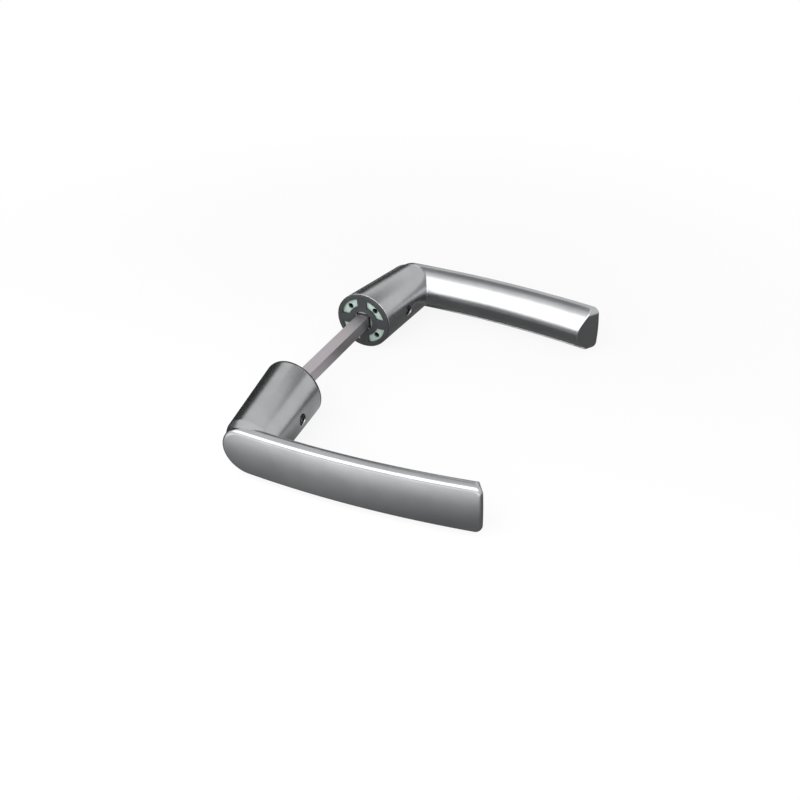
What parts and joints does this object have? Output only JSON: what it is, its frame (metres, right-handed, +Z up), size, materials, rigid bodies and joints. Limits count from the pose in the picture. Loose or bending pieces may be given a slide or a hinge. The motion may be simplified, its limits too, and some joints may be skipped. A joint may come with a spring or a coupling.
{
  "type": "lever handle pair",
  "caption": "Pair of mirrored cast levers with D-section grips and leaning round necks, clamped by set screws on a square through spindle, to work a window or glazed door from both sides.",
  "frame": {"origin": "centre of the square spindle, midway between the end caps of the two necks", "axes": "+X along the levers from the spindle to their free ends, +Y along the spindle to the back lever, +Z up"},
  "size_m": [0.1383, 0.1806, 0.0326],
  "materials": {
    "lever_metal": "satin, finely ground",
    "spindle_steel": "drawn bar, bright",
    "insert_zinc": "die cast, pale green passivated",
    "cap_plastic": "moulded, matt",
    "screw_steel": "blackened"
  },
  "bodies": {
    "spindle": {"spindle": "spindle_steel"},
    "lever_front": {"lever_front": "lever_metal", "socket_insert_front": "insert_zinc", "end_cap_front": "cap_plastic"},
    "lever_back": {"lever_back": "lever_metal", "socket_insert_back": "insert_zinc", "end_cap_back": "cap_plastic"},
    "screw_front": {"grub_screw_front": "screw_steel"},
    "screw_back": {"grub_screw_back": "screw_steel"}
  },
  "joints": [
    {"name": "lever_front_slide", "type": "slide", "parent": "spindle", "child": "lever_front", "axis": [0, -1, 0], "range_m": [-0.002, 0.004]},
    {"name": "lever_back_slide", "type": "slide", "parent": "spindle", "child": "lever_back", "axis": [0, 1, 0], "range_m": [-0.002, 0.004]},
    {"name": "screw_front_travel", "type": "slide", "parent": "lever_front", "child": "screw_front", "axis": [1, 0, 0], "range_m": [0, 0.0025]},
    {"name": "screw_back_travel", "type": "slide", "parent": "lever_back", "child": "screw_back", "axis": [1, 0, 0], "range_m": [0, 0.0025]}
  ]
}
